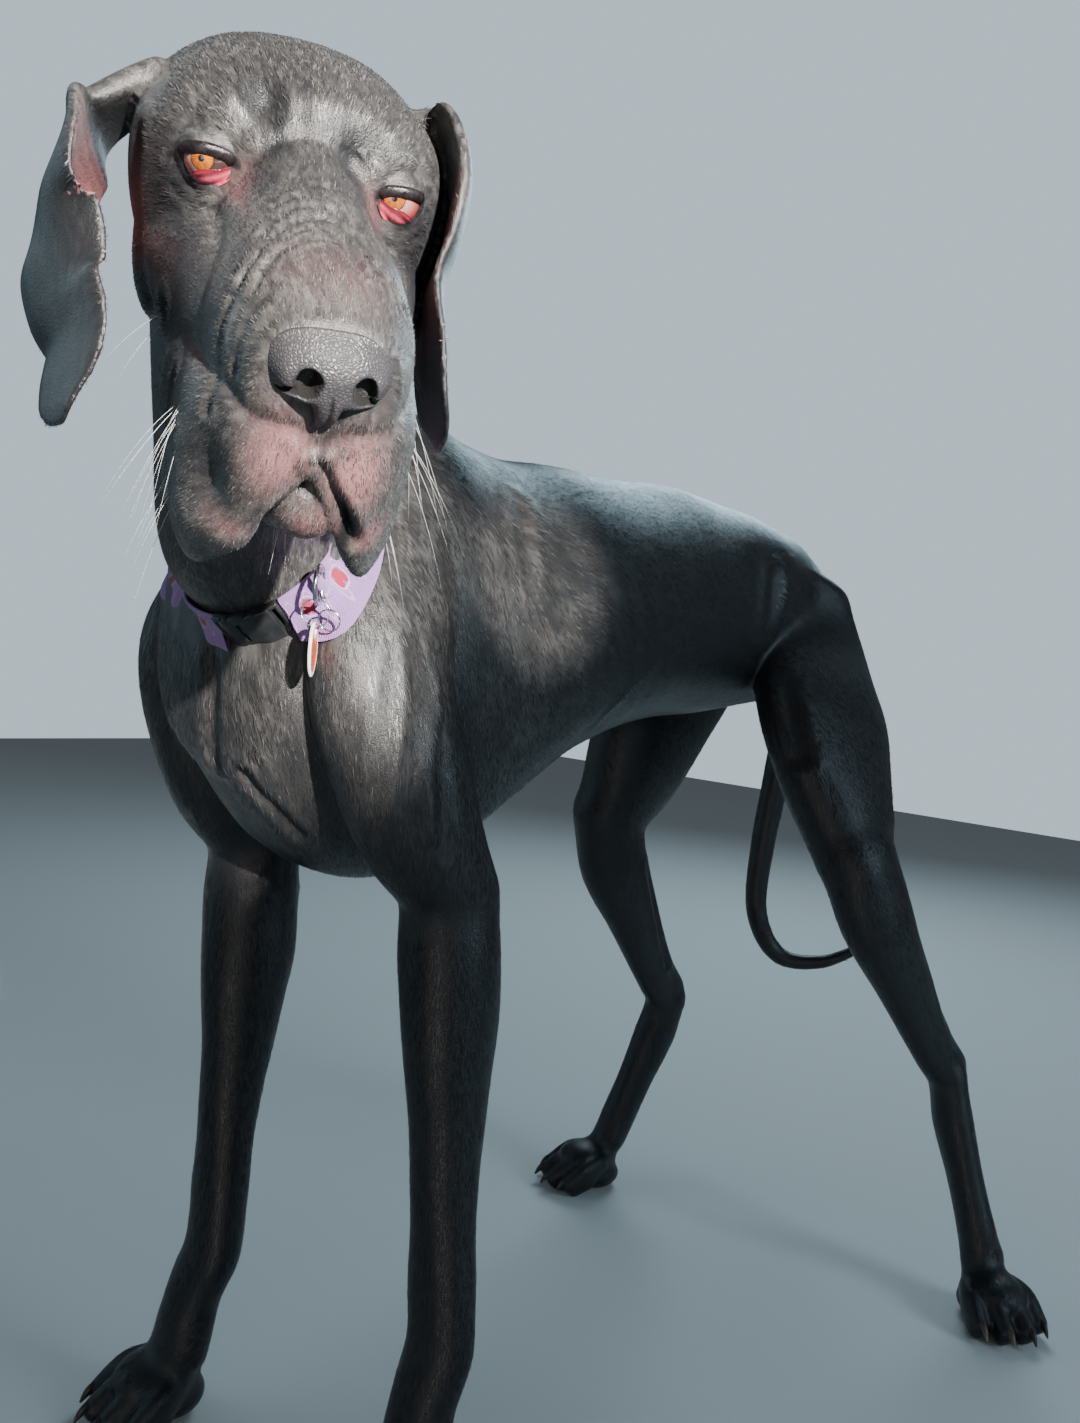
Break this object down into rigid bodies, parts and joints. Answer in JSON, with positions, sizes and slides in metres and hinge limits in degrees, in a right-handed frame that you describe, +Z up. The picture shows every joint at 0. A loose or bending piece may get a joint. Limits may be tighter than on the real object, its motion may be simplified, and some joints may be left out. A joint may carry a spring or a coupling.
{
  "type": "great dane",
  "caption": "Life-size still model of a black great dane standing with its head turned to the left, wearing a webbing collar with a plain buckle and tag.",
  "frame": {"origin": "middle of the model's bounding box, at floor level", "axes": "+Z up, the dog faces -Y, its left side is +X"},
  "size_m": [0.5555, 1.12, 0.9018],
  "materials": {
    "coat": "short black fur with a soft sheen",
    "nose": "moist black skin",
    "eye": "wet, clear",
    "webbing": "woven lilac webbing",
    "plastic": "moulded black",
    "metal": "bright plated wire",
    "tag": "orange-red enamel, blank"
  },
  "bodies": {
    "root": {"ear_left": "coat", "ear_right": "coat", "paw_front_left": "coat", "paw_front_right": "coat", "paw_hind_left": "coat", "paw_hind_right": "coat", "forearm_left": "coat", "forearm_right": "coat", "hock_left": "coat", "hock_right": "coat", "shin_left": "coat", "shin_right": "coat", "tail_tip": "coat", "tail_middle": "coat", "tail_root": "coat", "head": "coat", "neck": "coat", "shoulder_left": "coat", "shoulder_right": "coat", "thigh_left": "coat", "thigh_right": "coat", "chest": "coat", "rump": "coat", "belly": "coat", "nose": "nose", "lower_jaw": "coat", "eye_left": "eye", "eye_right": "eye", "webbing_nape": "webbing", "webbing_left": "webbing", "webbing_right": "webbing", "buckle": "plastic", "keeper": "webbing", "d_ring": "metal", "split_ring_large": "metal", "split_ring_small": "metal", "tag": "tag"}
  },
  "joints": []
}
